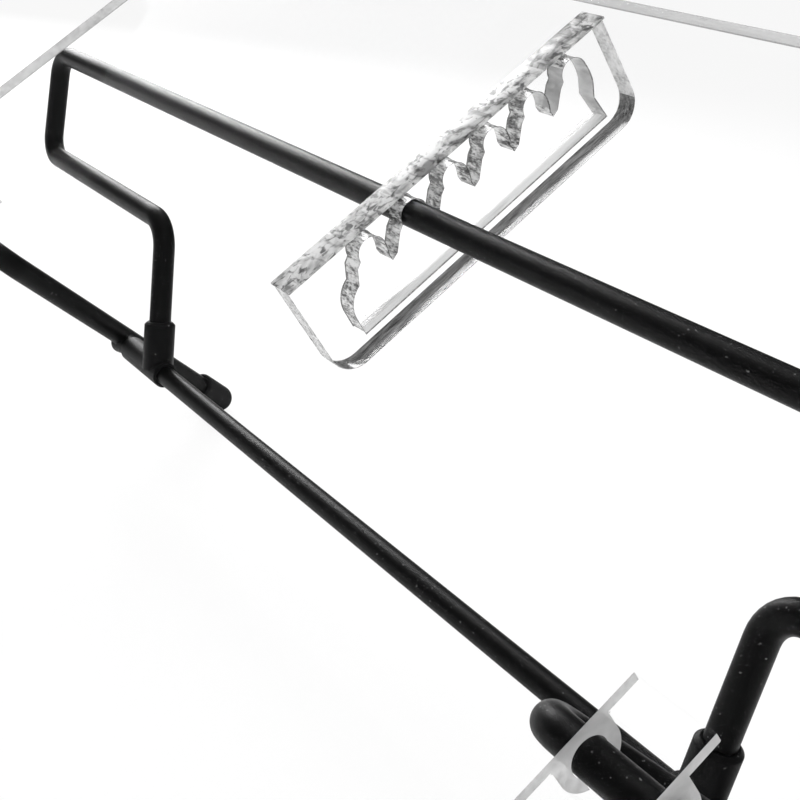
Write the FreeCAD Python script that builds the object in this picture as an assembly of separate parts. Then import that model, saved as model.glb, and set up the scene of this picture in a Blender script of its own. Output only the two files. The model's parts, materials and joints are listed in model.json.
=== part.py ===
"""Copy holder: a clear sloping plate propped on a notched rack by bent rods, with a sliding line guide.

The model is drawn flat and then tilted. In the drawing X runs to the right, Y runs up the slope from
the crossbar's axis, and Z runs out of the plate towards the reader, with zero on the plate's underside.
"""
import FreeCAD
import Part

import math
import os

# Clear plate with its bent-up lip
plate_width = 492.0
plate_thickness = 4.0
plate_rear_reach = 84.5
plate_front_reach = 230.0
plate_corner_radius = 8.0
lip_height = 24.0
lip_bend_radius = 6.0
lip_corner_radius = 6.0

# Front pads round the lip's bend
pad_thickness = 1.5
pad_length = 50.0
pad_inset = 35.0
pad_sweep_deg = 80.0
desk_flat = 0.4

# Rods
strut_rod_diameter = 8.0
cross_rod_diameter = 7.0
leg_rod_diameter = 8.0

# Notched rack under the plate
strip_width = 10.0
strip_thickness = 0.8
rack_thickness = 7.0
rack_depth = 35.0
rack_corner_radius = 8.5
rack_front_margin = 26.8
rack_rear_margin = 15.8
rack_front_band = 12.6
rack_rear_band = 12.2
rack_lower_band = 7.6
notch_count = 6
notch_pitch = 16.2
notch_in_use = 2
notch_web = 3.8
notch_clearance = 0.4

# Hooked teeth between the notches, as offsets from the notch radius and depths below the notch centre
nose_overhang = 0.9
nose_depth = 4.6
nose_hollow_share = 0.25
tip_overhang = 0.6
tip_depth = 6.7
tip_width = 2.4
tip_slant = 0.9
kink_out = 1.9
kink_depth = 1.3

# Front end wall of the window, whose shares run from its shoulder to the floor's corner
shoulder_out = 4.0
shoulder_depth = 5.7
hollow_out_share = 0.69
hollow_down_share = 0.215
foot_out_share = 0.965
foot_down_share = 0.526

# Rear end wall of the window
bulge_out = 0.3
bulge_depth = 3.2
bulge_end_in = 0.1
bulge_end_depth = 6.6
waist_in = 2.0
waist_depth = 11.1

# Strut frame that links the rack to the legs
strut_length = 97.6
strut_angle_deg = 48.1
strut_upper_length = 43.4
strut_top_half_span = 268.0
strut_jog_half_span = 150.5
strut_foot_half_span = 142.0
strut_top_bend = 9.0
strut_outer_bend = 9.0
strut_inner_bend = 11.5
strut_end_gap = 6.5

# Tees that turn on the cross rod
tee_sleeve_diameter = 9.6
tee_sleeve_outboard = 24.0
tee_sleeve_inboard = 7.5
tee_sleeve_rounding = 0.9
tee_socket_diameter = 11.4
tee_socket_height = 18.0
tee_socket_chamfer = 1.1
tee_running_clearance = 0.05

# Prop legs and their hinge
hinge_reach = 84.0
leg_splay = 27.0
leg_behind_rod = 1.6
leg_tee_clearance = 3.1
leg_below_joint = 74.0
leg_top_bend = 10.0
leg_stub_length = 45.0
hinge_clip_width = 20.0
hinge_clip_end_gap = 5.0
hinge_clip_flange_length = 30.0
hinge_clip_flange = 2.5
hinge_clip_wall = 3.1
hinge_clip_slot = 6.5
hinge_running_clearance = 0.08
weld_size = 1.3
weld_run = 2.0

# Rubber foot caps
cap_diameter = 11.0
cap_length = 22.0
cap_end_wall = 0.8
cap_mouth_rounding = 1.0

# Sliding line guide
guide_from_lip = 45.0
guide_bar_width = 24.0
guide_bar_thickness = 3.0
guide_bar_corner = 4.0
guide_line_width = 1.6
guide_line_depth = 0.5
guide_line_inset = 5.0
clip_length = 34.0
clip_grip = 12.0
clip_wall = 3.0
clip_under_wall = 2.6
clip_clearance = 0.4
clip_rounding = 1.2
brake_length = 20.0
brake_height = 3.0
brake_pocket = 0.9
brake_gap = 0.1
screw_radius = 1.5
screw_head_radius = 2.8
screw_head_height = 1.6
screw_spacing = 14.0
screw_inset = 6.0
screw_bite = 2.4

# One overrun serves all cuts
overrun = 1.0

# Places that follow from the sizes
half_width = plate_width / 2
rod_radius = strut_rod_diameter / 2
cross_rod_radius = cross_rod_diameter / 2
leg_radius = leg_rod_diameter / 2
notch_radius = rod_radius + notch_clearance
seat_z = -(strip_thickness + notch_web + notch_radius)
first_notch_y = -(notch_in_use - 1) * notch_pitch
last_notch_y = first_notch_y + (notch_count - 1) * notch_pitch
rack_front_y = first_notch_y - rack_front_margin
rack_rear_y = last_notch_y + rack_rear_margin
rack_top_z = -strip_thickness
rack_bottom_z = rack_top_z - rack_depth
window_floor_z = rack_bottom_z + rack_lower_band
strut_angle = math.radians(strut_angle_deg)
strut_y = math.cos(strut_angle)
strut_z = math.sin(strut_angle)
cross_rod_y = -strut_length * strut_y
cross_rod_z = seat_z - strut_length * strut_z
strut_jog = strut_length - strut_upper_length
hinge_bore_radius = leg_radius + hinge_running_clearance
hinge_y = -hinge_reach
hinge_z = -(hinge_clip_wall + hinge_bore_radius)
bend_outer_radius = lip_bend_radius + plate_thickness
bend_y = -plate_front_reach + bend_outer_radius
bend_z = bend_outer_radius
pad_outer_radius = bend_outer_radius + pad_thickness
cap_radius = cap_diameter / 2
guide_y = -plate_front_reach + guide_from_lip
clip_top_z = plate_thickness + clip_clearance + clip_wall
clip_outer_x = half_width + clip_clearance + clip_wall

V = FreeCAD.Vector
ALONG_X = V(1, 0, 0)
UP = V(0, 0, 1)
ORIGIN = V(0, 0, 0)
QUARTER_TURN_DEG = 90

leg_way = V(-leg_splay, cross_rod_y + leg_behind_rod - hinge_y, cross_rod_z - hinge_z).normalize()
leg_square = math.sqrt(1 - leg_way.x ** 2)
leg_lean = -leg_way.x / leg_square
leg_half_along_x = leg_radius / leg_square
leg_beside_tee = leg_half_along_x + leg_lean * tee_sleeve_diameter / 2 + leg_tee_clearance
weld_length = leg_half_along_x + leg_lean * cross_rod_radius + weld_run
rod_end = V(-strut_foot_half_span - tee_sleeve_outboard - leg_beside_tee, cross_rod_y, cross_rod_z)
leg_joint = rod_end + V(0, leg_behind_rod, 0)
leg_top = V(leg_joint.x + leg_splay, hinge_y, hinge_z)
strut_foot = V(-strut_foot_half_span, cross_rod_y, cross_rod_z)
jog_shift = strut_foot_half_span - strut_jog_half_span
strut_foot_way = V(jog_shift, strut_y * strut_jog, strut_z * strut_jog).normalize()
leg_foot = leg_joint + leg_way * leg_below_joint
cap_ball_centre = leg_foot + leg_way * (cap_end_wall + leg_radius - cap_radius)


def block(x0, x1, y0, y1, z0, z1):
    """Return a box between two corners."""
    return Part.makeBox(x1 - x0, y1 - y0, z1 - z0, V(x0, y0, z0))


def bar_along_x(x0, x1, y, z, radius):
    """Return a cylinder along X between two places."""
    return Part.makeCylinder(radius, x1 - x0, V(x0, y, z), ALONG_X)


def mirrored(shape):
    """Return the shape's twin on the right-hand side."""
    return shape.mirror(ORIGIN, ALONG_X)


def bent_rod(points, bends, radius):
    """Return a round rod along straight runs that are joined by tangent bends."""
    edges = []
    start = points[0]
    for i, bend in enumerate(bends):
        corner = points[i + 1]
        way_in = (corner - points[i]).normalize()
        way_out = (points[i + 2] - corner).normalize()
        turn = way_in.getAngle(way_out)
        reach = bend * math.tan(turn / 2)
        inward = (way_out - way_in).normalize()
        middle = corner + inward * (bend / math.cos(turn / 2) - bend)
        bend_start = corner - way_in * reach
        bend_end = corner + way_out * reach
        edges.append(Part.LineSegment(start, bend_start).toShape())
        edges.append(Part.Arc(bend_start, middle, bend_end).toShape())
        start = bend_end
    edges.append(Part.LineSegment(start, points[-1]).toShape())
    first_way = (points[1] - points[0]).normalize()
    profile = Part.Face(Part.Wire(Part.Circle(points[0], first_way, radius).toShape()))
    return Part.Wire(edges).makePipe(profile)


def edges_along(shape, axis, test):
    """Return the straight edges that run along an axis and whose middle passes a test."""
    found = []
    for edge in shape.Edges:
        if not isinstance(edge.Curve, Part.Line):
            continue
        way = edge.tangentAt(edge.FirstParameter)
        if abs(abs(way.dot(axis)) - 1) < 1e-6 and test(edge.CenterOfMass):
            found.append(edge)
    return found


def document_plate():
    """Return the clear plate, bent up at its front into a lip."""
    front = -plate_front_reach
    half_turn = math.sqrt(2) / 2
    under = V(0, bend_y, 0)
    edges = [
        Part.LineSegment(V(0, plate_rear_reach, 0), under).toShape(),
        Part.Arc(
            under,
            V(0, bend_y - bend_outer_radius * half_turn, bend_z - bend_outer_radius * half_turn),
            V(0, front, bend_z),
        ).toShape(),
        Part.LineSegment(V(0, front, bend_z), V(0, front, lip_height)).toShape(),
        Part.LineSegment(V(0, front, lip_height), V(0, front + plate_thickness, lip_height)).toShape(),
        Part.LineSegment(
            V(0, front + plate_thickness, lip_height), V(0, front + plate_thickness, bend_z)
        ).toShape(),
        Part.Arc(
            V(0, front + plate_thickness, bend_z),
            V(0, bend_y - lip_bend_radius * half_turn, bend_z - lip_bend_radius * half_turn),
            V(0, bend_y, plate_thickness),
        ).toShape(),
        Part.LineSegment(V(0, bend_y, plate_thickness), V(0, plate_rear_reach, plate_thickness)).toShape(),
        Part.LineSegment(V(0, plate_rear_reach, plate_thickness), V(0, plate_rear_reach, 0)).toShape(),
    ]
    sheet = Part.Face(Part.Wire(edges)).extrude(V(plate_width, 0, 0))
    sheet.translate(V(-half_width, 0, 0))
    rear = edges_along(sheet, UP, lambda middle: middle.y > plate_rear_reach - overrun)
    sheet = sheet.makeFillet(plate_corner_radius, rear)
    top = edges_along(sheet, V(0, 1, 0), lambda middle: middle.z > lip_height - overrun)
    return sheet.makeFillet(lip_corner_radius, top)


def front_pad():
    """Return the left rubber pad that wraps the lip's bend where it meets the desk."""
    x0 = -half_width + pad_inset
    corners = [
        V(x0, bend_y, bend_z - pad_outer_radius),
        V(x0 + pad_length, bend_y, bend_z - pad_outer_radius),
        V(x0 + pad_length, bend_y, bend_z - bend_outer_radius),
        V(x0, bend_y, bend_z - bend_outer_radius),
    ]
    section = Part.Face(Part.makePolygon(corners + corners[:1]))
    centre = V(x0, bend_y, bend_z)
    section.rotate(centre, ALONG_X, -(QUARTER_TURN_DEG - pad_sweep_deg) / 2)
    return section.revolve(centre, ALONG_X, -pad_sweep_deg)


def rack_mounting_strip():
    """Return the bonding strip between the plate and the rack."""
    half = strip_width / 2
    return block(-half, half, rack_front_y, rack_rear_y, -strip_thickness, 0)


def at_notch(index, y, depth):
    """Return a place on the window's outline from a notch's centre."""
    return V(0, first_notch_y + index * notch_pitch + y, seat_z - depth)


def run(*places):
    """Return the straight edges through a row of places."""
    return [Part.LineSegment(a, b).toShape() for a, b in zip(places, places[1:])]


def tooth(index):
    """Return the hooked tooth behind a notch, up to the pocket of the next one."""
    hollow_y = notch_radius - nose_overhang * nose_hollow_share
    nose_y = notch_radius - nose_overhang
    tip_y = notch_radius - tip_overhang
    start = at_notch(index, notch_radius, 0)
    nose = at_notch(index, nose_y, nose_depth)
    wall = Part.Arc(start, at_notch(index, hollow_y, nose_depth / 2), nose).toShape()
    return [wall] + run(
        nose,
        at_notch(index, tip_y, tip_depth),
        at_notch(index, tip_y + tip_width, tip_depth - tip_slant),
        at_notch(index + 1, -notch_radius - kink_out, kink_depth),
        at_notch(index + 1, -notch_radius, 0),
    )


def front_wall(corner):
    """Return the window's front end, from the first notch down to the floor's corner."""
    shoulder = at_notch(0, -notch_radius - shoulder_out, shoulder_depth)
    drop = corner - shoulder
    hollow = shoulder + V(0, drop.y * hollow_out_share, drop.z * hollow_down_share)
    foot = shoulder + V(0, drop.y * foot_out_share, drop.z * foot_down_share)
    kink = at_notch(0, -notch_radius - kink_out, kink_depth)
    edges = run(at_notch(0, -notch_radius, 0), kink, shoulder)
    edges.append(Part.Arc(shoulder, hollow, foot).toShape())
    return edges + run(foot, corner)


def rear_wall(corner):
    """Return the window's rear end, from the last notch down to the floor's corner."""
    last = notch_count - 1
    start = at_notch(last, notch_radius, 0)
    bulge = at_notch(last, notch_radius + bulge_out, bulge_depth)
    bulge_end = at_notch(last, notch_radius - bulge_end_in, bulge_end_depth)
    waist = at_notch(last, notch_radius - waist_in, waist_depth)
    return [Part.Arc(start, bulge, bulge_end).toShape()] + run(bulge_end, waist, corner)


def rack_window():
    """Return the outline of the window: notches above, one long flat floor below."""
    front_corner = V(0, rack_front_y + rack_front_band, window_floor_z)
    rear_corner = V(0, rack_rear_y - rack_rear_band, window_floor_z)
    edges = front_wall(front_corner) + rear_wall(rear_corner) + run(front_corner, rear_corner)
    for i in range(notch_count):
        left = at_notch(i, -notch_radius, 0)
        right = at_notch(i, notch_radius, 0)
        edges.append(Part.Arc(left, at_notch(i, 0, -notch_radius), right).toShape())
        if i < notch_count - 1:
            edges += tooth(i)
    return Part.Wire(Part.__sortEdges__(edges))


def rack_plate():
    """Return the clear rack with its row of notches."""
    half = rack_thickness / 2
    slab = block(-half, half, rack_front_y, rack_rear_y, rack_bottom_z, rack_top_z)
    lower = edges_along(slab, ALONG_X, lambda middle: middle.z < rack_bottom_z + overrun)
    slab = slab.makeFillet(rack_corner_radius, lower)
    window = Part.Face(rack_window()).extrude(V(rack_thickness + 2 * overrun, 0, 0))
    window.translate(V(-half - overrun, 0, 0))
    return slab.cut(window)


def hinge_clip():
    """Return the left clip: a flange bonded to the plate and a barrel that the leg's stub snaps into."""
    x1 = leg_top.x - leg_stub_length + hinge_clip_end_gap + hinge_clip_width
    x0 = x1 - hinge_clip_width
    barrel_radius = hinge_bore_radius + hinge_clip_wall
    half_flange = hinge_clip_flange_length / 2
    flange = block(x0, x1, hinge_y - half_flange, hinge_y + half_flange, -hinge_clip_flange, 0)
    neck = block(x0, x1, hinge_y - barrel_radius, hinge_y + barrel_radius, hinge_z, -hinge_clip_flange)
    clip = flange.fuse([neck, bar_along_x(x0, x1, hinge_y, hinge_z, barrel_radius)]).removeSplitter()
    clip = clip.cut(bar_along_x(x0 - overrun, x1 + overrun, hinge_y, hinge_z, hinge_bore_radius))
    half_slot = hinge_clip_slot / 2
    low = hinge_z - barrel_radius - overrun
    slot = block(x0 - overrun, x1 + overrun, hinge_y - half_slot, hinge_y + half_slot, low, hinge_z)
    return clip.cut(slot)


def prop_leg():
    """Return the left leg: a straight run that turns outwards into its hinge stub."""
    stub_end = leg_top - ALONG_X * leg_stub_length
    return bent_rod([leg_foot, leg_top, stub_end], [leg_top_bend], leg_radius)


def foot_cap(leg):
    """Return the rubber cap on the left leg's foot."""
    length = cap_length - cap_radius
    mouth = cap_ball_centre - leg_way * length
    tube = Part.makeCylinder(cap_radius, length, mouth, leg_way)
    rim = [
        e for e in tube.Edges
        if isinstance(e.Curve, Part.Circle) and (e.CenterOfMass - mouth).Length < overrun
    ]
    tube = tube.makeFillet(cap_mouth_rounding, rim)
    return tube.fuse(Part.makeSphere(cap_radius, cap_ball_centre)).removeSplitter().cut(leg)


def cross_rod(legs):
    """Return the rod that joins the legs, coped to their round sides."""
    return bar_along_x(rod_end.x, -rod_end.x, cross_rod_y, cross_rod_z, cross_rod_radius).cut(legs)


def weld_bead(leg, rod):
    """Return the left weld bead where the cross rod meets the leg."""
    bead = Part.makeCone(cross_rod_radius + weld_size, cross_rod_radius, weld_length, rod_end, ALONG_X)
    return bead.cut(leg).cut(rod)


def on_strut(x, from_cross_rod):
    """Return a place in the strut's plane, by its distance from the cross rod."""
    return V(x, cross_rod_y + strut_y * from_cross_rod, cross_rod_z + strut_z * from_cross_rod)


def strut_rod():
    """Return the one bent rod with the crossbar, the upper legs, the jogs and the lower legs."""
    left = [
        strut_foot + strut_foot_way * strut_end_gap,
        on_strut(-strut_jog_half_span, strut_jog),
        on_strut(-strut_top_half_span, strut_jog),
        on_strut(-strut_top_half_span, strut_length),
    ]
    right = [V(-point.x, point.y, point.z) for point in reversed(left)]
    bends = [strut_inner_bend, strut_outer_bend, strut_top_bend]
    return bent_rod(left + right, bends + bends[::-1], rod_radius)


def pivot_tee(rod):
    """Return the left moulded tee: a sleeve on the cross rod and a socket for the strut."""
    x0 = strut_foot.x - tee_sleeve_outboard
    x1 = strut_foot.x + tee_sleeve_inboard
    sleeve = bar_along_x(x0, x1, cross_rod_y, cross_rod_z, tee_sleeve_diameter / 2)
    ends = [e for e in sleeve.Edges if isinstance(e.Curve, Part.Circle)]
    sleeve = sleeve.makeFillet(tee_sleeve_rounding, ends)
    socket = Part.makeCylinder(tee_socket_diameter / 2, tee_socket_height, strut_foot, strut_foot_way)
    rim = [
        e for e in socket.Edges
        if isinstance(e.Curve, Part.Circle) and (e.CenterOfMass - strut_foot).Length > overrun
    ]
    socket = socket.makeChamfer(tee_socket_chamfer, rim)
    bore_radius = cross_rod_radius + tee_running_clearance
    bore = bar_along_x(x0 - overrun, x1 + overrun, cross_rod_y, cross_rod_z, bore_radius)
    return sleeve.fuse(socket).removeSplitter().cut(bore).cut(rod)


def guide_clip():
    """Return the left clip that grips the plate's side edge and carries the guide bar."""
    half = clip_length / 2
    inner = -half_width + clip_grip
    body = block(
        -clip_outer_x, inner, guide_y - half, guide_y + half, -clip_clearance - clip_under_wall, clip_top_z
    )
    outer = edges_along(body, UP, lambda middle: middle.x < -half_width)
    body = body.makeFillet(clip_rounding, outer)
    channel = block(
        -half_width - clip_clearance,
        inner + overrun,
        guide_y - half - overrun,
        guide_y + half + overrun,
        -clip_clearance,
        plate_thickness + clip_clearance,
    )
    return body.cut(channel).cut(guide_brake()).cut(guide_screws())


def guide_brake():
    """Return the left felt brake, set in a pocket of the clip's side wall."""
    half = brake_length / 2
    middle = plate_thickness / 2
    x0 = -half_width - clip_clearance - brake_pocket
    low = middle - brake_height / 2
    return block(x0, -half_width - brake_gap, guide_y - half, guide_y + half, low, low + brake_height)


def guide_screws():
    """Return the left pair of pan-head screws that hold the bar on its clip."""
    x = -clip_outer_x + screw_inset
    top = clip_top_z + guide_bar_thickness
    screws = []
    for side in (-1, 1):
        y = guide_y + side * screw_spacing / 2
        length = guide_bar_thickness + screw_bite
        shank = Part.makeCylinder(screw_radius, length, V(x, y, clip_top_z - screw_bite), UP)
        head = Part.makeCylinder(screw_head_radius, screw_head_height, V(x, y, top), UP)
        rim = [
            e for e in head.Edges
            if isinstance(e.Curve, Part.Circle) and e.CenterOfMass.z > top + screw_head_height / 2
        ]
        screws.append(shank.fuse(head.makeFillet(screw_head_height / 2, rim)).removeSplitter())
    return Part.makeCompound(screws)


def guide_line():
    """Return the dark line that is let into the guide bar's face."""
    y = guide_y - guide_bar_width / 2 + guide_line_inset
    top = clip_top_z + guide_bar_thickness
    reach = half_width - clip_grip
    return block(-reach, reach, y, y + guide_line_width, top - guide_line_depth, top)


def guide_bar():
    """Return the clear bar that lies across the papers."""
    half = guide_bar_width / 2
    top = clip_top_z + guide_bar_thickness
    bar = block(-clip_outer_x, clip_outer_x, guide_y - half, guide_y + half, clip_top_z, top)
    bar = bar.makeFillet(guide_bar_corner, edges_along(bar, UP, lambda middle: True))
    screws = guide_screws()
    return bar.cut(guide_line()).cut(screws).cut(mirrored(screws))


def slope():
    """Return the plate's angle to the desk, at which the pads and the feet both touch it."""
    run = bend_y - cap_ball_centre.y
    rise = bend_z - cap_ball_centre.z
    spread = math.hypot(run, rise)
    return math.acos((pad_outer_radius - cap_radius) / spread) - math.atan2(-run, rise)


def make_nodes():
    """Return every piece by its name, in the flat drawing."""
    leg = prop_leg()
    legs = leg.fuse(mirrored(leg))
    rod = cross_rod(legs)
    bead = weld_bead(leg, rod)
    cap = foot_cap(leg)
    strut = strut_rod()
    tee = pivot_tee(strut)
    pieces = {
        "document_plate": document_plate(),
        "rack_mounting_strip": rack_mounting_strip(),
        "rack_plate": rack_plate(),
        "rear_cross_rod": rod,
        "strut_rod": strut,
        "line_guide_bar": guide_bar(),
        "guide_sight_line": guide_line(),
    }
    pairs = {
        "front_pad": front_pad(),
        "hinge_clip": hinge_clip(),
        "prop_leg": leg,
        "weld_bead": bead,
        "foot_cap": cap,
        "pivot_tee": tee,
        "guide_end_clip": guide_clip(),
        "guide_brake_pad": guide_brake(),
    }
    for name, shape in pairs.items():
        pieces[name + "_left"] = shape
        pieces[name + "_right"] = mirrored(shape)
    screws = guide_screws()
    pieces["guide_screws"] = Part.makeCompound(screws.Solids + mirrored(screws).Solids)
    return pieces


def stand_up(pieces):
    """Tilt the pieces to the slope and stand them on the desk, centred on the origin."""
    angle = slope()
    desk = bend_y * math.sin(angle) + bend_z * math.cos(angle) - pad_outer_radius + desk_flat
    for shape in pieces.values():
        shape.rotate(ORIGIN, ALONG_X, math.degrees(angle))
        shape.translate(V(0, 0, -desk))
    for name in ("front_pad_left", "front_pad_right", "foot_cap_left", "foot_cap_right"):
        box = pieces[name].BoundBox
        box.enlarge(overrun)
        under = block(box.XMin, box.XMax, box.YMin, box.YMax, box.ZMin, 0)
        pieces[name] = pieces[name].cut(under)
    boxes = [shape.optimalBoundingBox(False, False) for shape in pieces.values()]
    middle = (min(box.YMin for box in boxes) + max(box.YMax for box in boxes)) / 2
    for shape in pieces.values():
        shape.translate(V(0, -middle, 0))
    return angle, desk, middle


nodes = make_nodes()
tilt, desk_level, centre_y = stand_up(nodes)
os.makedirs("parts", exist_ok=True)
for node, solid in sorted(nodes.items()):
    solid.exportStep("parts/" + node + ".step")
    print(node, len(solid.Solids), solid.isValid(), round(solid.Volume, 1))
print("tilt", math.degrees(tilt), "desk level", desk_level, "centre", centre_y)
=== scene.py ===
"""Copy holder with a clear sloping plate, a notched rack, a prop of bent rods and a line guide."""

import json
import logging
import math
from dataclasses import dataclass, field
from enum import Enum, IntEnum
from typing import Callable, Optional, Union

import bmesh
import bpy
from mathutils import Matrix, Vector


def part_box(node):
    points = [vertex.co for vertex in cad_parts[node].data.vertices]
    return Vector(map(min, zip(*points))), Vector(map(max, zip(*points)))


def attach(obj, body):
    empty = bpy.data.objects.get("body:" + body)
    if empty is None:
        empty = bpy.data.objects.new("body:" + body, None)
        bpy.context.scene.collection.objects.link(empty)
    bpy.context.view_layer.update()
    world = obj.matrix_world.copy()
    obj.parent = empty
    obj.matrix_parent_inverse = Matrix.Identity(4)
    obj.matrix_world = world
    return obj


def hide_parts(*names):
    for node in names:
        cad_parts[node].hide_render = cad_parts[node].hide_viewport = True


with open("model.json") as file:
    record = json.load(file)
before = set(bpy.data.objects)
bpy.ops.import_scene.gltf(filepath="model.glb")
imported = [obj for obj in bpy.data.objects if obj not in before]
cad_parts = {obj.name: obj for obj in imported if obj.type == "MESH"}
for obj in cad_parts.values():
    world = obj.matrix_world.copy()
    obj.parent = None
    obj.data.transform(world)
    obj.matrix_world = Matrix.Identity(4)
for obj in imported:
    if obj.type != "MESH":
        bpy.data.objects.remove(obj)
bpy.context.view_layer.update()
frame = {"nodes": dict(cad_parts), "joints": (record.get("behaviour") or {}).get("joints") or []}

MM = 0.001
SIDES = ("left", "right")
LOG = logging.getLogger("copy_holder")

Triple = tuple[float, float, float]
Stops = tuple[tuple[float, float], ...]
Source = Union[float, tuple, bpy.types.NodeSocket]
FaceChoice = Callable[[bmesh.types.BMFace], int]


class Body(str, Enum):
    """The moving bodies of the copy holder."""

    PLATFORM = "platform"
    PROP = "prop_frame"
    STRUT = "strut_frame"
    GUIDE = "line_guide"


class Slot(str, Enum):
    """The record's material slots."""

    ACRYLIC = "clear_acrylic"
    BOND = "frosted_bond"
    ROD = "black_coated_rod"
    MOULDING = "black_moulding"
    RUBBER = "black_rubber"
    FELT = "grey_felt"
    STEEL = "screw_steel"
    INK = "line_ink"


class ClearPiece(IntEnum):
    """The faces of a clear piece, in the order of its finishes."""

    POLISHED = 0
    CUT = 1
    RIM = 2


class RackFace(IntEnum):
    """The faces of the rack, in the order of its finishes."""

    POLISHED = 0
    NOTCH_WALL = 1
    NOTCH_RIM_PAINTED_SHADE = 2
    WINDOW_FLOOR = 3
    WINDOW_END = 4
    UNDERSIDE_PAINTED_SHADE = 5
    OUTER_END = 6


def joint_named(name: str) -> dict:
    """Return the frame's joint of that name.

    Args:
        name: The joint's name in the record.

    Returns:
        The joint's own entry.
    """
    return next(joint for joint in frame["joints"] if joint["name"] == name)


def opaque(colour: Triple) -> tuple[float, float, float, float]:
    """Return a colour with full cover.

    Args:
        colour: Red, green and blue.

    Returns:
        The four values that a colour socket takes.
    """
    return (*colour, 1.0)


def grey(level: float) -> tuple[float, float, float, float]:
    """Return an opaque grey.

    Args:
        level: How light it is, from 0 to 1.

    Returns:
        The four values that a colour socket takes.
    """
    return opaque((level, level, level))


@dataclass(frozen=True)
class Slope:
    """The plate's own directions, read from the way that the guide slides."""

    up_slope: Vector
    outward: Vector
    angle: float

    @classmethod
    def from_frame(cls) -> "Slope":
        """Return the slope that the guide's joint gives.

        Returns:
            The plate's directions and its angle over the desk in radians.
        """
        axis = Vector(joint_named("guide_slide")["axis"]).normalized()
        return cls(axis, Vector((0, -axis.z, axis.y)), math.atan2(axis.z, axis.y))


SLOPE = Slope.from_frame()


@dataclass(frozen=True)
class Pattern:
    """A noise: features per millimetre, number of finer layers and how far it is swirled."""

    scale: float
    detail: float = 2.0
    swirl: float = 0.0


class Shading:
    """One material's node tree, built step by step."""

    def __init__(self, name: str) -> None:
        """Start a material that holds one principled shader.

        Args:
            name: The material's name.
        """
        self.material = bpy.data.materials.new(name)
        self.material.use_nodes = True
        self.tree = self.material.node_tree
        self.tree.nodes.clear()
        self.output = self.tree.nodes.new("ShaderNodeOutputMaterial")
        self.shader = self.tree.nodes.new("ShaderNodeBsdfPrincipled")
        self.show(self.shader)

    def show(self, shader: bpy.types.Node) -> None:
        """Let a shader be what the surface shows.

        Args:
            shader: The node whose first output is the shader.
        """
        self.tree.links.new(shader.outputs[0], self.output.inputs["Surface"])

    def set(self, **values: Source) -> None:
        """Set the principled shader's own sockets.

        Args:
            values: Values by socket name, with spaces written as underscores.
        """
        for name, value in values.items():
            self.shader.inputs[name.replace("_", " ")].default_value = value

    def feed(self, socket: str, source: bpy.types.NodeSocket) -> None:
        """Link a source to the principled shader.

        Args:
            socket: The name of the shader's socket.
            source: What it reads.
        """
        self.tree.links.new(source, self.shader.inputs[socket])

    def node(self, kind: str, settings: Optional[dict] = None, **inputs: Source) -> bpy.types.Node:
        """Add a node.

        Args:
            kind: The node's type name without its prefix.
            settings: Properties of the node.
            inputs: Values or sockets to link from, by socket name or as in0, in1 and so on.

        Returns:
            The new node.
        """
        made = self.tree.nodes.new("ShaderNode" + kind)
        for name, value in (settings or {}).items():
            setattr(made, name, value)
        for name, value in inputs.items():
            key = int(name[2:]) if name.startswith("in") else name.replace("_", " ")
            if isinstance(value, bpy.types.NodeSocket):
                self.tree.links.new(value, made.inputs[key])
            else:
                made.inputs[key].default_value = value
        return made

    def slope_coords(self, scale: Triple = (1.0, 1.0, 1.0)) -> bpy.types.NodeSocket:
        """Return object coordinates turned to the plate's own directions, in millimetres.

        Args:
            scale: Stretch along the width, up the slope and out of the plate.

        Returns:
            The socket that holds the coordinates.
        """
        coords = self.node("TexCoord").outputs["Object"]
        turned = self.node("Mapping", Vector=coords, Rotation=(-SLOPE.angle, 0, 0))
        stretch = tuple(value / MM for value in scale)
        return self.node("Mapping", Vector=turned.outputs[0], Scale=stretch).outputs[0]

    def noise(self, coords: bpy.types.NodeSocket, look: Pattern) -> bpy.types.NodeSocket:
        """Return a noise value over the coordinates.

        Args:
            coords: The coordinates' socket.
            look: The noise's size and kind.

        Returns:
            The noise value's socket.
        """
        made = self.node(
            "TexNoise", Vector=coords, Scale=look.scale, Detail=look.detail, Distortion=look.swirl
        )
        return made.outputs["Fac"]

    def ramp(self, value: bpy.types.NodeSocket, stops: Stops) -> bpy.types.NodeSocket:
        """Return a grey ramp's colour.

        Args:
            value: What the ramp reads.
            stops: Pairs of position and grey, in rising order.

        Returns:
            The ramp's colour socket.
        """
        made = self.node("ValToRGB", Fac=value)
        points = made.color_ramp.elements
        while len(points) < len(stops):
            points.new(stops[0][0])
        for point, (position, level) in zip(points, stops):
            point.position = position
            point.color = grey(level)
        return made.outputs["Color"]

    def math(self, operation: str, first: Source, second: Source) -> bpy.types.NodeSocket:
        """Return the result of a sum on two values or sockets.

        Args:
            operation: The kind of sum, such as ADD.
            first: Its first value.
            second: Its second value.

        Returns:
            The result's socket.
        """
        return self.node("Math", {"operation": operation}, in0=first, in1=second).outputs[0]

    def mix(self, share: Source, first: Source, second: Source, blend: str = "MIX") -> bpy.types.NodeSocket:
        """Return two colours blended.

        Args:
            share: How much of the blend is taken.
            first: The colour below.
            second: The colour above.
            blend: The kind of blend.

        Returns:
            The blended colour's socket.
        """
        settings = {"data_type": "RGBA", "blend_type": blend}
        return self.node("Mix", settings, in0=share, in6=first, in7=second).outputs[2]

    def bump(self, height: bpy.types.NodeSocket, depth: float) -> None:
        """Raise the surface by a pattern.

        Args:
            height: The pattern's socket.
            depth: Its full height in metres.
        """
        self.feed("Normal", self.node("Bump", Height=height, Distance=depth).outputs[0])


@dataclass(frozen=True)
class Finish:
    """A named material that is built when a piece first takes it."""

    name: str

    def build(self) -> bpy.types.Material:
        """Return the material.

        Returns:
            The new material.
        """
        raise NotImplementedError


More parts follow.
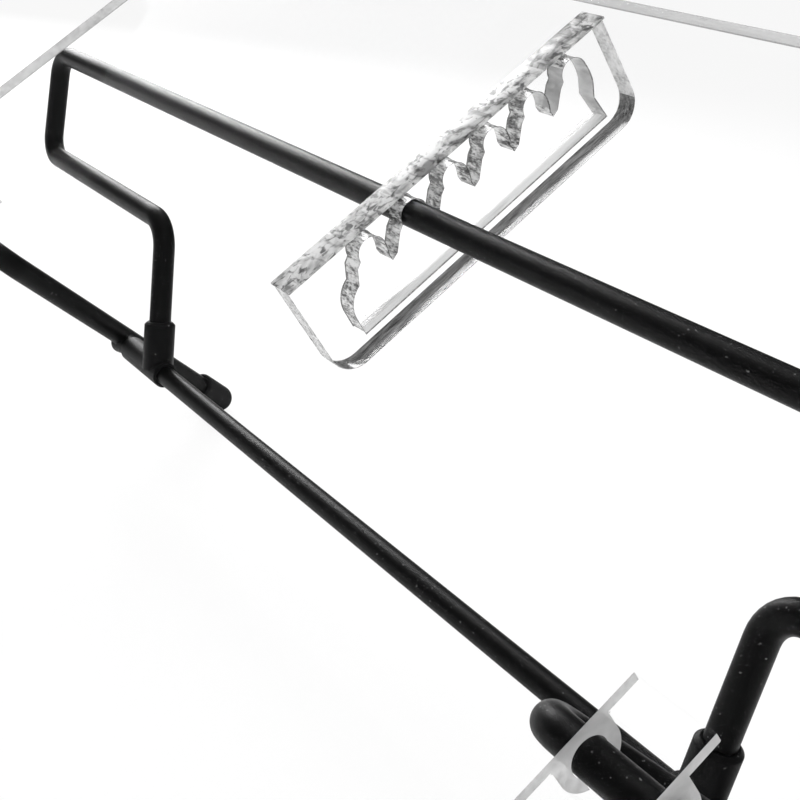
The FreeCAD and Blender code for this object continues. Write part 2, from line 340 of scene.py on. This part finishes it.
@dataclass(frozen=True)
class ClearFace(Finish):
    """Polished acrylic seen through its face: a thin mirror that is strong only at a grazing look."""

    tint: Triple = (0.62, 0.63, 0.64)
    metallic: float = 0.6
    gloss: float = 0.03
    haze: float = 0.001
    edge_blend: float = 0.12
    sheen_share: float = 0.03
    smears: Pattern = Pattern(0.02)
    smear_stops: Stops = ((0.4, 0.8), (0.7, 1.0))

    def build(self) -> bpy.types.Material:
        """Return the material, nearly empty where it is looked at straight on."""
        shading = Shading(self.name)
        shading.set(Base_Color=opaque(self.tint), Metallic=self.metallic, Roughness=self.gloss)
        look = shading.node("LayerWeight", Blend=self.edge_blend).outputs["Fresnel"]
        smears = shading.ramp(shading.noise(shading.slope_coords(), self.smears), self.smear_stops)
        sheen = shading.math("MULTIPLY", look, shading.math("MULTIPLY", smears, self.sheen_share))
        shading.feed("Alpha", shading.math("ADD", sheen, self.haze))
        return shading.material


@dataclass(frozen=True)
class CutEdge(Finish):
    """An edge of cut acrylic, with uneven streaks along its cut marks in greys that are painted reflection
    and painted shade.

    The streaks' greys are stops over a noise of so many marks to the millimetre, which is
    stretched across the width and along the slope.
    """

    marks: float
    stops: Stops
    solidity: float
    across: float = 1.0
    along: float = 1.0
    swirl: float = 0.6
    fine_share: float = 0.3
    broad_detail: float = 3.0
    fine_detail: float = 1.0
    fine_ratio: float = 4.3
    cover_stops: Stops = ((0.35, 1.0), (0.65, 0.9))
    roughness: float = 0.16
    specular: float = 0.12
    relief: float = 0.06 * MM

    def build(self) -> bpy.types.Material:
        """Return the material, with broad streaks and fine ones over them."""
        shading = Shading(self.name)
        shading.set(Roughness=self.roughness, Specular_IOR_Level=self.specular)
        coords = shading.slope_coords((self.across, self.along, 1.0))
        broad = shading.noise(coords, Pattern(self.marks, self.broad_detail, self.swirl))
        fine = shading.noise(coords, Pattern(self.marks * self.fine_ratio, self.fine_detail))
        broad_part = shading.math("MULTIPLY", broad, 1 - self.fine_share)
        streaks = shading.math("ADD", broad_part, shading.math("MULTIPLY", fine, self.fine_share))
        # The streaks' pattern stands for the edge's cut marks; the ramp's greys are painted reflection and
        # painted shade.
        shading.feed("Base Color", shading.ramp(streaks, self.stops))
        cover = shading.ramp(fine, self.cover_stops)
        shading.feed("Alpha", shading.math("MULTIPLY", cover, self.solidity))
        shading.bump(streaks, self.relief)
        return shading.material


@dataclass(frozen=True)
class BubbledBond(Finish):
    """A clear bonding strip whose cement has dried with bubbles and streaks."""

    blotch_stretch: Triple = (0.75, 0.6, 1.0)
    streak_stretch: Triple = (0.25, 1.3, 1.0)
    patches: Pattern = Pattern(0.17, 4.0, 1.4)
    flecks: Pattern = Pattern(0.6, 3.0, 0.8)
    streaks: Pattern = Pattern(0.35, 2.0, 0.5)
    patch_stops: Stops = ((0.38, 0.22), (0.44, 0.42), (0.5, 0.58), (0.58, 0.76))
    fleck_stops: Stops = ((0.34, 0.04), (0.41, 0.35), (0.48, 1.0))
    streak_stops: Stops = ((0.36, 0.35), (0.44, 1.0))
    cover_stops: Stops = ((0.4, 0.95), (0.62, 0.75))
    fleck_share: float = 0.85
    streak_share: float = 0.6
    roughness: float = 0.3
    specular: float = 0.08
    relief: float = 0.15 * MM

    def build(self) -> bpy.types.Material:
        """Return the material, with dark flecks and streaks over grey patches."""
        shading = Shading(self.name)
        shading.set(Roughness=self.roughness, Specular_IOR_Level=self.specular)
        coords = shading.slope_coords(self.blotch_stretch)
        patches = shading.noise(coords, self.patches)
        flecks = shading.noise(coords, self.flecks)
        streaks = shading.noise(shading.slope_coords(self.streak_stretch), self.streaks)
        base = shading.ramp(patches, self.patch_stops)
        dark = shading.ramp(flecks, self.fleck_stops)
        lines = shading.ramp(streaks, self.streak_stops)
        flecked = shading.mix(self.fleck_share, base, dark, "MULTIPLY")
        shading.feed("Base Color", shading.mix(self.streak_share, flecked, lines, "MULTIPLY"))
        shading.feed("Alpha", shading.ramp(patches, self.cover_stops))
        shading.bump(flecks, self.relief)
        return shading.material


@dataclass(frozen=True)
class Coating(Finish):
    """An opaque dark finish with a fine grain, a slow mottle and a few pale specks."""

    colour: Triple
    roughness: float
    specular: float
    grain: float
    grain_depth: float
    speck_light: float = 0.12
    speck_edge: float = 0.76
    speck_blur: float = 0.04
    speck_ratio: float = 0.5
    mottle_ratio: float = 0.12
    mottle_lift: float = 2.5
    rough_spread: float = 0.16

    def build(self) -> bpy.types.Material:
        """Return the material, whose colour and roughness follow the mottle."""
        shading = Shading(self.name)
        shading.set(Specular_IOR_Level=self.specular)
        coords = shading.slope_coords()
        grain = shading.noise(coords, Pattern(self.grain, 3.0))
        mottle = shading.noise(coords, Pattern(self.grain * self.mottle_ratio))
        dots = shading.noise(coords, Pattern(self.grain * self.speck_ratio, 0.0))
        specks = shading.ramp(dots, ((self.speck_edge, 0.0), (self.speck_edge + self.speck_blur, 1.0)))
        lifted = tuple(value * self.mottle_lift for value in self.colour)
        base = shading.mix(mottle, opaque(self.colour), opaque(lifted))
        shading.feed("Base Color", shading.mix(specks, base, grey(self.speck_light)))
        spread = shading.math("MULTIPLY", mottle, self.rough_spread)
        shading.feed("Roughness", shading.math("ADD", spread, self.roughness - self.rough_spread / 2))
        shading.bump(grain, self.grain_depth)
        return shading.material


@dataclass(frozen=True)
class Metal(Finish):
    """Plated steel with fine turning marks."""

    colour: Triple = (0.62, 0.62, 0.61)
    mark_stretch: Triple = (1.0, 1.0, 4.0)
    marks: Pattern = Pattern(3.0)
    rough_spread: float = 0.2
    roughness: float = 0.2
    relief: float = 0.02 * MM

    def build(self) -> bpy.types.Material:
        """Return the material, rougher where the marks are."""
        shading = Shading(self.name)
        shading.set(Base_Color=opaque(self.colour), Metallic=1.0)
        marks = shading.noise(shading.slope_coords(self.mark_stretch), self.marks)
        spread = shading.math("MULTIPLY", marks, self.rough_spread)
        shading.feed("Roughness", shading.math("ADD", spread, self.roughness))
        shading.bump(marks, self.relief)
        return shading.material


CLEAR_FACE = ClearFace("clear_face")
# Pale painted reflection on the plate's cut edges, the clips' cut ends and the guide bar's edges.
PLATE_EDGE = CutEdge(
    "plate_edge",
    marks=0.12,
    stops=((0.3, 0.46), (0.42, 0.56), (0.58, 0.68), (0.7, 0.8)),
    solidity=0.92,
    across=0.02,
)
# Darker painted shade on the plate's broken rims.
PLATE_RIM = CutEdge(
    "plate_rim",
    marks=0.3,
    stops=((0.3, 0.3), (0.5, 0.42), (0.7, 0.55)),
    solidity=0.85,
    across=0.02,
)
# Streaks from near black to near white: painted reflection of dark and light surroundings in the notch
# walls.
NOTCH_WALL = CutEdge(
    "notch_wall",
    marks=0.5,
    stops=((0.39, 0.02), (0.45, 0.12), (0.5, 0.4), (0.55, 0.7), (0.62, 0.95)),
    solidity=0.93,
    across=0.34,
)
# Dark painted shade along the notches' broken rims.
NOTCH_RIM_PAINTED_SHADE = CutEdge(
    "notch_rim",
    marks=0.9,
    stops=((0.4, 0.015), (0.5, 0.08), (0.6, 0.35)),
    solidity=0.92,
    across=0.3,
)
# Paler painted reflection on the windows' floors and ends.
WINDOW_FLOOR = CutEdge(
    "window_floor",
    marks=0.3,
    stops=((0.36, 0.3), (0.48, 0.5), (0.56, 0.72)),
    solidity=0.86,
    across=0.9,
    along=0.06,
    swirl=0.1,
    fine_share=0.1,
)
WINDOW_END = CutEdge(
    "window_end",
    marks=0.16,
    stops=((0.36, 0.3), (0.5, 0.42), (0.62, 0.56)),
    solidity=0.88,
    across=0.4,
    fine_share=0.15,
)
# Near-black painted shade on the faces under the rack.
UNDERSIDE_PAINTED_SHADE = CutEdge(
    "underside_edge",
    marks=0.45,
    stops=((0.38, 0.02), (0.48, 0.06), (0.56, 0.11), (0.64, 0.19)),
    solidity=0.97,
    along=0.1,
    swirl=0.2,
)
# Paler painted reflection on the rack's outer ends.
OUTER_END = CutEdge(
    "outer_end",
    marks=0.3,
    stops=((0.38, 0.3), (0.48, 0.52), (0.6, 0.74)),
    solidity=0.85,
    swirl=0.2,
)
BOND = BubbledBond("bubbled_bond")
POWDER_COAT = Coating(
    "powder_coat",
    colour=(0.001, 0.001, 0.0011),
    roughness=0.42,
    specular=0.08,
    grain=3.2,
    grain_depth=0.03 * MM,
    speck_edge=0.79,
)
MOULDED = Coating(
    "moulded_black",
    colour=(0.0018, 0.0018, 0.002),
    roughness=0.5,
    specular=0.1,
    grain=1.6,
    grain_depth=0.04 * MM,
    speck_edge=0.8,
)
RUBBER = Coating(
    "soft_rubber",
    colour=(0.005, 0.005, 0.0053),
    roughness=0.7,
    specular=0.12,
    grain=1.8,
    grain_depth=0.06 * MM,
    speck_light=0.1,
    speck_edge=0.8,
)
FELT = Coating(
    "pressed_felt",
    colour=(0.05, 0.05, 0.052),
    roughness=0.95,
    specular=0.1,
    grain=3.0,
    grain_depth=0.2 * MM,
)
INK = Coating(
    "line_ink",
    colour=(0.01, 0.01, 0.012),
    roughness=0.4,
    specular=0.3,
    grain=3.0,
    grain_depth=0.01 * MM,
    speck_light=0.25,
    speck_edge=0.9,
)
STEEL = Metal("plated_steel")


@dataclass
class Workshop:
    """Makes the finished pieces from the frame's nodes and keeps the built materials."""

    weld_distance: float = 0.001 * MM
    flat_deg: float = 0.3
    bevel_segments: int = 2
    bevel_profile: float = 0.5
    keep_material: int = -1
    built: dict[str, bpy.types.Material] = field(default_factory=dict)

    def material(self, finish: Finish) -> bpy.types.Material:
        """Return the finish's material, built once.

        Args:
            finish: The finish.

        Returns:
            Its material.
        """
        if finish.name not in self.built:
            self.built[finish.name] = finish.build()
        return self.built[finish.name]

    def cleaned(self, node: str) -> bmesh.types.BMesh:
        """Return a node's surface with its flat faces made whole.

        Args:
            node: The node's name.

        Returns:
            The surface, which the caller frees.
        """
        shape = bmesh.new()
        shape.from_mesh(frame["nodes"][node].data)
        bmesh.ops.remove_doubles(shape, verts=shape.verts, dist=self.weld_distance)
        bmesh.ops.dissolve_limit(
            shape,
            angle_limit=math.radians(self.flat_deg),
            verts=shape.verts,
            edges=shape.edges,
            use_dissolve_boundaries=False,
        )
        return shape

    def break_edges(self, shape: bmesh.types.BMesh, width: float, limit: float) -> None:
        """Bevel the sharp edges of a surface.

        Args:
            shape: The surface.
            width: Width of the bevel in metres.
            limit: The least turn of a sharp edge in radians.
        """
        bmesh.ops.bevel(
            shape,
            geom=[edge for edge in shape.edges if edge.calc_face_angle(0.0) > limit],
            offset=width,
            segments=self.bevel_segments,
            profile=self.bevel_profile,
            affect="EDGES",
            material=self.keep_material,
            clamp_overlap=True,
        )
        bmesh.ops.remove_doubles(shape, verts=shape.verts, dist=self.weld_distance)

    def refine(
        self,
        node: str,
        body: Body,
        slot: Slot,
        finishes: tuple[Finish, ...],
        broken_edge: float = 0.0,
        choose: Optional[FaceChoice] = None,
        sharp_deg: float = 32.0,
    ) -> None:
        """Make a smooth-shaded, edge-broken piece that stands for a node.

        Args:
            node: The node's name.
            body: The body that it moves with.
            slot: The record's material slot, which is not used.
            finishes: One finish, or several that choose picks from.
            broken_edge: Width of the broken edges in metres, or zero.
            choose: Gives each face its finish by number.
            sharp_deg: Edges that turn more than this stay sharp or are bevelled.
        """
        limit = math.radians(sharp_deg)
        shape = self.cleaned(node)
        if broken_edge > 0:
            self.break_edges(shape, broken_edge, limit)
        shape.normal_update()
        for face in shape.faces:
            face.smooth = True
            face.material_index = int(choose(face)) if choose else 0
        for edge in shape.edges:
            edge.smooth = edge.calc_face_angle(0.0) < limit
        mesh = bpy.data.meshes.new(node + "_finished")
        shape.to_mesh(mesh)
        shape.free()
        piece = bpy.data.objects.new(node + "_finished", mesh)
        bpy.context.scene.collection.objects.link(piece)
        for finish in finishes:
            mesh.materials.append(self.material(finish))
        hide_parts(node)
        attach(piece, body.value)
        LOG.info("%s stands for %s on %s", piece.name, node, body.value)


@dataclass
class SlopingPlate:
    """The clear plate with its lip, its hinge clips and its front pads."""

    shop: Workshop
    broken_edge: float = 0.3 * MM
    pad_edge: float = 0.25 * MM
    clip_edge: float = 0.5 * MM
    lip_zone: float = 30.0 * MM
    polished_facing: float = 0.95
    cut_facing: float = 0.2
    end_facing: float = 0.5

    def plate_finish(self, face: bmesh.types.BMFace) -> ClearPiece:
        """Return a plate face's kind.

        Args:
            face: A face of the plate.

        Returns:
            Polished, cut or the broken corner between the two.
        """
        front = Vector((0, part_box("front_pad_left")[0][1], 0))
        near_lip = (face.calc_center_median() - front).dot(SLOPE.up_slope) < self.lip_zone
        facing = 1 - abs(face.normal.x) if near_lip else abs(face.normal.dot(SLOPE.outward))
        # Cut faces take pale painted reflection and the broken corners darker painted shade.
        if facing > self.polished_facing:
            return ClearPiece.POLISHED
        return ClearPiece.CUT if facing < self.cut_facing else ClearPiece.RIM

    def clip_finish(self, face: bmesh.types.BMFace) -> ClearPiece:
        """Return a hinge clip face's kind.

        Args:
            face: A face of the clip.

        Returns:
            Cut at the sawn ends, polished on the moulded sides.
        """
        return ClearPiece.CUT if abs(face.normal.x) > self.end_facing else ClearPiece.POLISHED

    def make(self) -> None:
        """Build the plate's pieces."""
        self.shop.refine(
            "document_plate",
            Body.PLATFORM,
            Slot.ACRYLIC,
            (CLEAR_FACE, PLATE_EDGE, PLATE_RIM),
            self.broken_edge,
            self.plate_finish,
        )
        for side in SIDES:
            self.shop.refine(
                "hinge_clip_" + side,
                Body.PLATFORM,
                Slot.ACRYLIC,
                (CLEAR_FACE, PLATE_EDGE),
                self.clip_edge,
                self.clip_finish,
            )
            self.shop.refine("front_pad_" + side, Body.PLATFORM, Slot.RUBBER, (RUBBER,), self.pad_edge)


@dataclass
class NotchedRack:
    """The clear rack under the plate and the strip that bonds it there.

    The zones are counted from the rack's lowest face and from its front and rear ends.
    """

    shop: Workshop
    broken_edge: float = 0.25 * MM
    strip_edge: float = 0.15 * MM
    sharp_deg: float = 40.0
    floor_zone: float = 8.2 * MM
    end_skin: float = 6.0 * MM
    end_zone: float = 22.0 * MM
    end_height: float = 22.0 * MM
    polished_facing: float = 0.95
    rim_facing: float = 0.2
    under_facing: float = 0.35
    floor_facing: float = 0.5
    floor_out: float = field(init=False)
    front_up: float = field(init=False)
    rear_up: float = field(init=False)

    def __post_init__(self) -> None:
        """Read the zones' limits from the rack's corners."""
        corners = [vertex.co for vertex in frame["nodes"]["rack_plate"].data.vertices]
        ups = [corner.dot(SLOPE.up_slope) for corner in corners]
        self.floor_out = min(corner.dot(SLOPE.outward) for corner in corners) + self.floor_zone
        self.front_up = min(ups) + self.end_skin
        self.rear_up = max(ups) - self.end_skin

    def face_kind(self, face: bmesh.types.BMFace) -> RackFace:
        """Return a rack face's kind.

        Args:
            face: A face of the rack.

        Returns:
            What it is, by the way that it faces and its place, which picks its painted greys.
        """
        sideways = abs(face.normal.x)
        outward = face.normal.dot(SLOPE.outward)
        centre = face.calc_center_median()
        out = centre.dot(SLOPE.outward)
        up = centre.dot(SLOPE.up_slope)
        if sideways > self.polished_facing:
            return RackFace.POLISHED
        # Faces under the rack that turn away from the plate take near-black painted shade.
        if out < self.floor_out and outward < -self.under_facing:
            return RackFace.UNDERSIDE_PAINTED_SHADE
        if up < self.front_up or up > self.rear_up:
            return RackFace.OUTER_END
        # Broken rims take dark painted shade.
        if sideways > self.rim_facing:
            return RackFace.NOTCH_RIM_PAINTED_SHADE
        if out < self.floor_out and outward > self.floor_facing:
            return RackFace.WINDOW_FLOOR
        if up > self.rear_up - self.end_zone and out < self.floor_out + self.end_height:
            return RackFace.WINDOW_END
        return RackFace.NOTCH_WALL

    def make(self) -> None:
        """Build the rack's pieces."""
        looks = {
            RackFace.POLISHED: CLEAR_FACE,
            RackFace.NOTCH_WALL: NOTCH_WALL,
            RackFace.NOTCH_RIM_PAINTED_SHADE: NOTCH_RIM_PAINTED_SHADE,
            RackFace.WINDOW_FLOOR: WINDOW_FLOOR,
            RackFace.WINDOW_END: WINDOW_END,
            RackFace.UNDERSIDE_PAINTED_SHADE: UNDERSIDE_PAINTED_SHADE,
            RackFace.OUTER_END: OUTER_END,
        }
        self.shop.refine(
            "rack_plate",
            Body.PLATFORM,
            Slot.ACRYLIC,
            tuple(looks[kind] for kind in RackFace),
            self.broken_edge,
            self.face_kind,
            self.sharp_deg,
        )
        self.shop.refine("rack_mounting_strip", Body.PLATFORM, Slot.BOND, (BOND,), self.strip_edge)


@dataclass
class PropFrame:
    """The two splayed legs with the cross rod, its welds and the rubber caps."""

    shop: Workshop

    def make(self) -> None:
        """Build the prop's pieces."""
        self.shop.refine("rear_cross_rod", Body.PROP, Slot.ROD, (POWDER_COAT,))
        for side in SIDES:
            self.shop.refine("prop_leg_" + side, Body.PROP, Slot.ROD, (POWDER_COAT,))
            self.shop.refine("weld_bead_" + side, Body.PROP, Slot.ROD, (POWDER_COAT,))
            self.shop.refine("foot_cap_" + side, Body.PROP, Slot.RUBBER, (RUBBER,))


@dataclass
class StrutFrame:
    """The bent rod that lies in the rack, and the tees that turn on the cross rod."""

    shop: Workshop
    tee_edge: float = 0.25 * MM

    def make(self) -> None:
        """Build the strut's pieces."""
        self.shop.refine("strut_rod", Body.STRUT, Slot.ROD, (POWDER_COAT,))
        for side in SIDES:
            self.shop.refine("pivot_tee_" + side, Body.STRUT, Slot.MOULDING, (MOULDED,), self.tee_edge)


@dataclass
class LineGuide:
    """The clear bar with its dark line, and the clips that slide on the plate's edges."""

    shop: Workshop
    bar_edge: float = 0.3 * MM
    clip_edge: float = 0.4 * MM
    polished_facing: float = 0.8

    def bar_finish(self, face: bmesh.types.BMFace) -> ClearPiece:
        """Return a bar face's kind.

        Args:
            face: A face of the bar.

        Returns:
            Polished where it lies with the plate, cut round the edges.
        """
        facing = abs(face.normal.dot(SLOPE.outward))
        return ClearPiece.CUT if facing < self.polished_facing else ClearPiece.POLISHED

    def make(self) -> None:
        """Build the guide's pieces."""
        self.shop.refine(
            "line_guide_bar",
            Body.GUIDE,
            Slot.ACRYLIC,
            (CLEAR_FACE, PLATE_EDGE),
            self.bar_edge,
            self.bar_finish,
        )
        self.shop.refine("guide_sight_line", Body.GUIDE, Slot.INK, (INK,))
        self.shop.refine("guide_screws", Body.GUIDE, Slot.STEEL, (STEEL,))
        for side in SIDES:
            self.shop.refine("guide_end_clip_" + side, Body.GUIDE, Slot.MOULDING, (MOULDED,), self.clip_edge)
            self.shop.refine("guide_brake_pad_" + side, Body.GUIDE, Slot.FELT, (FELT,))


@dataclass(frozen=True)
class Softbox:
    """A square soft lamp, with its place and aim in metres, its width in metres and its power in watts."""

    name: str
    place: Triple
    aim: Triple
    width: float
    power: float

    def make(self) -> None:
        """Build the lamp."""
        data = bpy.data.lights.new(self.name, "AREA")
        data.shape = "SQUARE"
        data.size = self.width
        data.energy = self.power
        lamp = bpy.data.objects.new(self.name, data)
        lamp.location = self.place
        lamp.rotation_euler = (Vector(self.aim) - Vector(self.place)).to_track_quat("-Z", "Y").to_euler()
        bpy.context.scene.collection.objects.link(lamp)


@dataclass(frozen=True)
class PhotoCamera:
    """The camera at the photograph's angle.

    Places are millimetres and directions are unit vectors, to the right, up the slope and out of
    the plate. The hinge's place in the same measure ties them to the frame.
    """

    place: Triple = (324.0, -119.7, 205.3)
    ahead: Triple = (-0.79, 0.2663, -0.5523)
    down: Triple = (0.281, -0.6434, -0.7121)
    hinge: Triple = (0.0, -84.0, -7.18)
    focal_px: float = 1450.0
    image_px: float = 800.0
    centre_row_px: float = 266.5
    sensor: float = 36.0

    def make(self) -> None:
        """Build the camera."""
        turn = Matrix.Rotation(SLOPE.angle, 3, "X")
        datum = Vector(joint_named("prop_hinge")["pos_m"]) - turn @ Vector(self.hinge) * MM
        ahead = (turn @ Vector(self.ahead)).normalized()
        down = (turn @ Vector(self.down)).normalized()
        right = down.cross(ahead).normalized()
        basis = Matrix((right, right.cross(ahead), -ahead)).transposed().to_4x4()
        data = bpy.data.cameras.new("photo_camera")
        data.sensor_width = self.sensor
        data.lens = self.focal_px / self.image_px * self.sensor
        data.shift_y = (self.centre_row_px - self.image_px / 2) / self.image_px
        camera = bpy.data.objects.new("photo_camera", data)
        camera.matrix_world = Matrix.Translation(datum + turn @ Vector(self.place) * MM) @ basis
        bpy.context.scene.collection.objects.link(camera)
        bpy.context.scene.camera = camera


@dataclass(frozen=True)
class Studio:
    """The pale desk, the white surround, the soft lamps and the camera."""

    white: float = 1.0
    ambient: float = 0.75
    mirrored: float = 0.15
    desk_size: float = 6.0
    desk_grey: float = 0.82
    desk_roughness: float = 0.8
    desk_specular: float = 0.1
    shadow_share: float = 0.16
    softboxes: tuple[Softbox, ...] = (
        Softbox("top_softbox", (-0.2, 0.1, 1.3), (0, 0, 0), 1.1, 5.0),
        Softbox("left_softbox", (-1.3, 0.3, 0.7), (-0.2, 0, 0.1), 0.7, 20.0),
        Softbox("right_softbox", (1.1, -0.6, 0.9), (0, 0, 0.1), 0.8, 2.0),
    )

    def surround(self) -> None:
        """Make the white surround, which is fainter as a light and fainter still as a mirror image."""
        world = bpy.data.worlds.new("surround")
        world.use_nodes = True
        tree = world.node_tree
        background = tree.nodes["Background"]
        background.inputs["Color"].default_value = grey(self.white)
        paths = tree.nodes.new("ShaderNodeLightPath").outputs
        plain = tree.nodes.new("ShaderNodeValue")
        strength = plain.outputs[0]
        strength.default_value = self.ambient
        levels = {
            "Is Glossy Ray": self.mirrored,
            "Is Transmission Ray": self.white,
            "Is Camera Ray": self.white,
        }
        for ray, level in levels.items():
            choice = tree.nodes.new("ShaderNodeMix")
            tree.links.new(paths[ray], choice.inputs[0])
            tree.links.new(strength, choice.inputs[2])
            choice.inputs[3].default_value = level
            strength = choice.outputs[0]
        tree.links.new(strength, background.inputs["Strength"])
        bpy.context.scene.world = world

    def desk_finish(self) -> bpy.types.Material:
        """Return the desk's white, which keeps only a share of its shadows.

        Returns:
            The new material.
        """
        shading = Shading("desk_white")
        shading.set(
            Base_Color=grey(self.desk_grey),
            Roughness=self.desk_roughness,
            Specular_IOR_Level=self.desk_specular,
        )
        paths = shading.node("LightPath").outputs
        seen = shading.math("MAXIMUM", paths["Is Camera Ray"], paths["Is Transmission Ray"])
        glow = shading.node("Emission", Color=grey(self.white), Strength=self.white)
        share = shading.math("MULTIPLY", seen, 1 - self.shadow_share)
        lit = shading.shader.outputs[0]
        shading.show(shading.node("MixShader", Fac=share, in1=lit, in2=glow.outputs[0]))
        return shading.material

    def desk(self) -> None:
        """Make the plain desk."""
        shape = bmesh.new()
        bmesh.ops.create_grid(shape, x_segments=1, y_segments=1, size=self.desk_size)
        mesh = bpy.data.meshes.new("desk_top")
        shape.to_mesh(mesh)
        shape.free()
        desk = bpy.data.objects.new("desk_top", mesh)
        bpy.context.scene.collection.objects.link(desk)
        mesh.materials.append(self.desk_finish())

    def make(self) -> None:
        """Build the studio."""
        bpy.context.scene.view_settings.view_transform = "Standard"
        self.surround()
        self.desk()
        for softbox in self.softboxes:
            softbox.make()
        PhotoCamera().make()


def main() -> None:
    """Build the copy holder and its studio."""
    logging.basicConfig(level=logging.INFO, format="%(message)s")
    shop = Workshop()
    for assembly in (SlopingPlate, NotchedRack, PropFrame, StrutFrame, LineGuide):
        assembly(shop).make()
    Studio().make()


if __name__ == "__main__":
    main()
